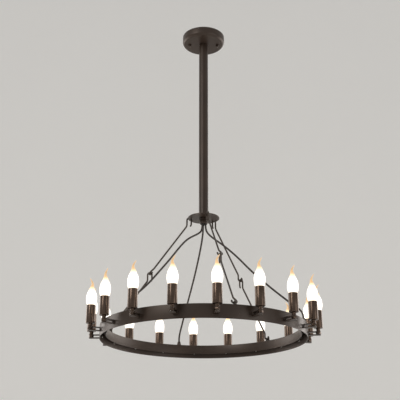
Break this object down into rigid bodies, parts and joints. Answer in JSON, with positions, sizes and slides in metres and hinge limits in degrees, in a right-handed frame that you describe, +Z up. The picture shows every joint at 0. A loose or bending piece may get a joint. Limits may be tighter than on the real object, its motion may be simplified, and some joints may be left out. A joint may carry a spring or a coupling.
{
  "type": "wagon wheel chandelier",
  "caption": "Ring chandelier with candle lamps on strap brackets outside a channel ring, hung by hooked rods from a hub plate on a straight down rod and canopy.",
  "frame": {"origin": "centre of the crossbar's two slotted holes, in the ceiling plane on the down rod's axis", "axes": "+Z up out of the ceiling plane along the down rod, +X along the crossbar towards one canopy stud"},
  "size_m": [0.8034, 0.8018, 1.185],
  "materials": {
    "dark_bronze": "satin oil-rubbed bronze paint",
    "sleeve_bronze": "satin metallic bronze lacquer",
    "zinc_steel": "zinc plated",
    "socket_ceramic": "glazed white lampholder",
    "cord_rubber": "matte",
    "clip_plastic": "matte",
    "cord_cover": "matte round sheath",
    "frosted_glass": "frosted warm white glass"
  },
  "bodies": {
    "ceiling_mount": {"ceiling_crossbar": "zinc_steel", "canopy_studs": "zinc_steel", "ground_screw": "zinc_steel", "ceiling_stem": "zinc_steel", "stem_lock_nuts": "zinc_steel", "down_rod": "dark_bronze", "rod_top_plug": "zinc_steel", "rod_end_plug": "zinc_steel"},
    "canopy": {"canopy": "dark_bronze"},
    "cap_nut_left": {"cap_nut_left": "dark_bronze"},
    "cap_nut_right": {"cap_nut_right": "dark_bronze"},
    "hub": {"hub_plate": "dark_bronze", "hub_stem": "zinc_steel", "hub_nut": "dark_bronze", "cord_outlet": "dark_bronze", "outlet_grommet": "cord_rubber", "power_cord_1": "cord_cover", "power_cord_2": "cord_cover", "power_cord_3": "cord_cover"},
    "wheel": {"wheel_ring": "dark_bronze", "ring_eyes": "dark_bronze", "ring_glands": "dark_bronze", "gland_nuts": "zinc_steel", "wiring_loop": "cord_cover", "wiring_clips": "clip_plastic", "candle_brackets": "dark_bronze", "bracket_screws": "dark_bronze", "bracket_nuts": "zinc_steel", "candle_sleeves": "sleeve_bronze", "candle_collars": "dark_bronze", "candle_pipes": "zinc_steel", "candle_nuts": "dark_bronze", "candle_sockets": "socket_ceramic"},
    "upper_rod_1": {"upper_rod_1": "dark_bronze"},
    "lower_rod_1": {"lower_rod_1": "dark_bronze"},
    "upper_rod_2": {"upper_rod_2": "dark_bronze"},
    "lower_rod_2": {"lower_rod_2": "dark_bronze"},
    "upper_rod_3": {"upper_rod_3": "dark_bronze"},
    "lower_rod_3": {"lower_rod_3": "dark_bronze"},
    "bulb_01": {"bulb_01": "frosted_glass"},
    "bulb_02": {"bulb_02": "frosted_glass"},
    "bulb_03": {"bulb_03": "frosted_glass"},
    "bulb_04": {"bulb_04": "frosted_glass"},
    "bulb_05": {"bulb_05": "frosted_glass"},
    "bulb_06": {"bulb_06": "frosted_glass"},
    "bulb_07": {"bulb_07": "frosted_glass"},
    "bulb_08": {"bulb_08": "frosted_glass"},
    "bulb_09": {"bulb_09": "frosted_glass"},
    "bulb_10": {"bulb_10": "frosted_glass"},
    "bulb_11": {"bulb_11": "frosted_glass"},
    "bulb_12": {"bulb_12": "frosted_glass"},
    "bulb_13": {"bulb_13": "frosted_glass"},
    "bulb_14": {"bulb_14": "frosted_glass"},
    "bulb_15": {"bulb_15": "frosted_glass"},
    "bulb_16": {"bulb_16": "frosted_glass"},
    "bulb_17": {"bulb_17": "frosted_glass"},
    "bulb_18": {"bulb_18": "frosted_glass"}
  },
  "joints": [
    {"name": "canopy_drop", "type": "slide", "parent": "ceiling_mount", "child": "canopy", "axis": [0, 0, -1], "range_m": [0, 0.3]},
    {"name": "cap_nut_left_off", "type": "slide", "parent": "canopy", "child": "cap_nut_left", "axis": [0, 0, -1], "range_m": [0, 0.012]},
    {"name": "cap_nut_right_off", "type": "slide", "parent": "canopy", "child": "cap_nut_right", "axis": [0, 0, -1], "range_m": [0, 0.012]},
    {"name": "hub_turn", "type": "hinge", "parent": "ceiling_mount", "child": "hub", "pos_m": [0, 0, -0.744], "axis": [0, 0, 1], "range_deg": [-180, 180]},
    {"name": "wheel_lift", "type": "slide", "parent": "hub", "child": "wheel", "axis": [0, 0, 1], "range_m": [0, 0.01], "deforming": ["power_cord_1", "power_cord_2", "power_cord_3"]},
    {"name": "upper_rod_1_swing", "type": "hinge", "parent": "hub", "child": "upper_rod_1", "pos_m": [0.01448, -0.0515, -0.74633], "axis": [0.9627, 0.2706, 0], "range_deg": [0, 9.77]},
    {"name": "lower_rod_1_swing", "type": "hinge", "parent": "upper_rod_1", "child": "lower_rod_1", "pos_m": [0.05311, -0.18893, -0.93932], "axis": [-0.9627, -0.2706, 0], "range_deg": [0, 20.97]},
    {"name": "upper_rod_2_swing", "type": "hinge", "parent": "hub", "child": "upper_rod_2", "pos_m": [0.03737, 0.03829, -0.74633], "axis": [-0.7157, 0.6984, 0], "range_deg": [0, 9.77]},
    {"name": "lower_rod_2_swing", "type": "hinge", "parent": "upper_rod_2", "child": "lower_rod_2", "pos_m": [0.13706, 0.14045, -0.93932], "axis": [0.7157, -0.6984, 0], "range_deg": [0, 20.97]},
    {"name": "upper_rod_3_swing", "type": "hinge", "parent": "hub", "child": "upper_rod_3", "pos_m": [-0.05184, 0.01321, -0.74633], "axis": [-0.247, -0.969, 0], "range_deg": [0, 9.77]},
    {"name": "lower_rod_3_swing", "type": "hinge", "parent": "upper_rod_3", "child": "lower_rod_3", "pos_m": [-0.19017, 0.04847, -0.93932], "axis": [0.247, 0.969, 0], "range_deg": [0, 20.97]},
    {"name": "bulb_01_out", "type": "slide", "parent": "wheel", "child": "bulb_01", "axis": [0, 0, 1], "range_m": [0, 0.035]},
    {"name": "bulb_02_out", "type": "slide", "parent": "wheel", "child": "bulb_02", "axis": [0, 0, 1], "range_m": [0, 0.035]},
    {"name": "bulb_03_out", "type": "slide", "parent": "wheel", "child": "bulb_03", "axis": [0, 0, 1], "range_m": [0, 0.035]},
    {"name": "bulb_04_out", "type": "slide", "parent": "wheel", "child": "bulb_04", "axis": [0, 0, 1], "range_m": [0, 0.035]},
    {"name": "bulb_05_out", "type": "slide", "parent": "wheel", "child": "bulb_05", "axis": [0, 0, 1], "range_m": [0, 0.035]},
    {"name": "bulb_06_out", "type": "slide", "parent": "wheel", "child": "bulb_06", "axis": [0, 0, 1], "range_m": [0, 0.035]},
    {"name": "bulb_07_out", "type": "slide", "parent": "wheel", "child": "bulb_07", "axis": [0, 0, 1], "range_m": [0, 0.035]},
    {"name": "bulb_08_out", "type": "slide", "parent": "wheel", "child": "bulb_08", "axis": [0, 0, 1], "range_m": [0, 0.035]},
    {"name": "bulb_09_out", "type": "slide", "parent": "wheel", "child": "bulb_09", "axis": [0, 0, 1], "range_m": [0, 0.035]},
    {"name": "bulb_10_out", "type": "slide", "parent": "wheel", "child": "bulb_10", "axis": [0, 0, 1], "range_m": [0, 0.035]},
    {"name": "bulb_11_out", "type": "slide", "parent": "wheel", "child": "bulb_11", "axis": [0, 0, 1], "range_m": [0, 0.035]},
    {"name": "bulb_12_out", "type": "slide", "parent": "wheel", "child": "bulb_12", "axis": [0, 0, 1], "range_m": [0, 0.035]},
    {"name": "bulb_13_out", "type": "slide", "parent": "wheel", "child": "bulb_13", "axis": [0, 0, 1], "range_m": [0, 0.035]},
    {"name": "bulb_14_out", "type": "slide", "parent": "wheel", "child": "bulb_14", "axis": [0, 0, 1], "range_m": [0, 0.035]},
    {"name": "bulb_15_out", "type": "slide", "parent": "wheel", "child": "bulb_15", "axis": [0, 0, 1], "range_m": [0, 0.035]},
    {"name": "bulb_16_out", "type": "slide", "parent": "wheel", "child": "bulb_16", "axis": [0, 0, 1], "range_m": [0, 0.035]},
    {"name": "bulb_17_out", "type": "slide", "parent": "wheel", "child": "bulb_17", "axis": [0, 0, 1], "range_m": [0, 0.035]},
    {"name": "bulb_18_out", "type": "slide", "parent": "wheel", "child": "bulb_18", "axis": [0, 0, 1], "range_m": [0, 0.035]}
  ],
  "couplings": [
    {"joint": "upper_rod_1_swing", "follows": "wheel_lift", "rad_per_m": 17.024},
    {"joint": "lower_rod_1_swing", "follows": "wheel_lift", "rad_per_m": 36.567},
    {"joint": "upper_rod_2_swing", "follows": "wheel_lift", "rad_per_m": 17.024},
    {"joint": "lower_rod_2_swing", "follows": "wheel_lift", "rad_per_m": 36.567},
    {"joint": "upper_rod_3_swing", "follows": "wheel_lift", "rad_per_m": 17.024},
    {"joint": "lower_rod_3_swing", "follows": "wheel_lift", "rad_per_m": 36.567}
  ]
}
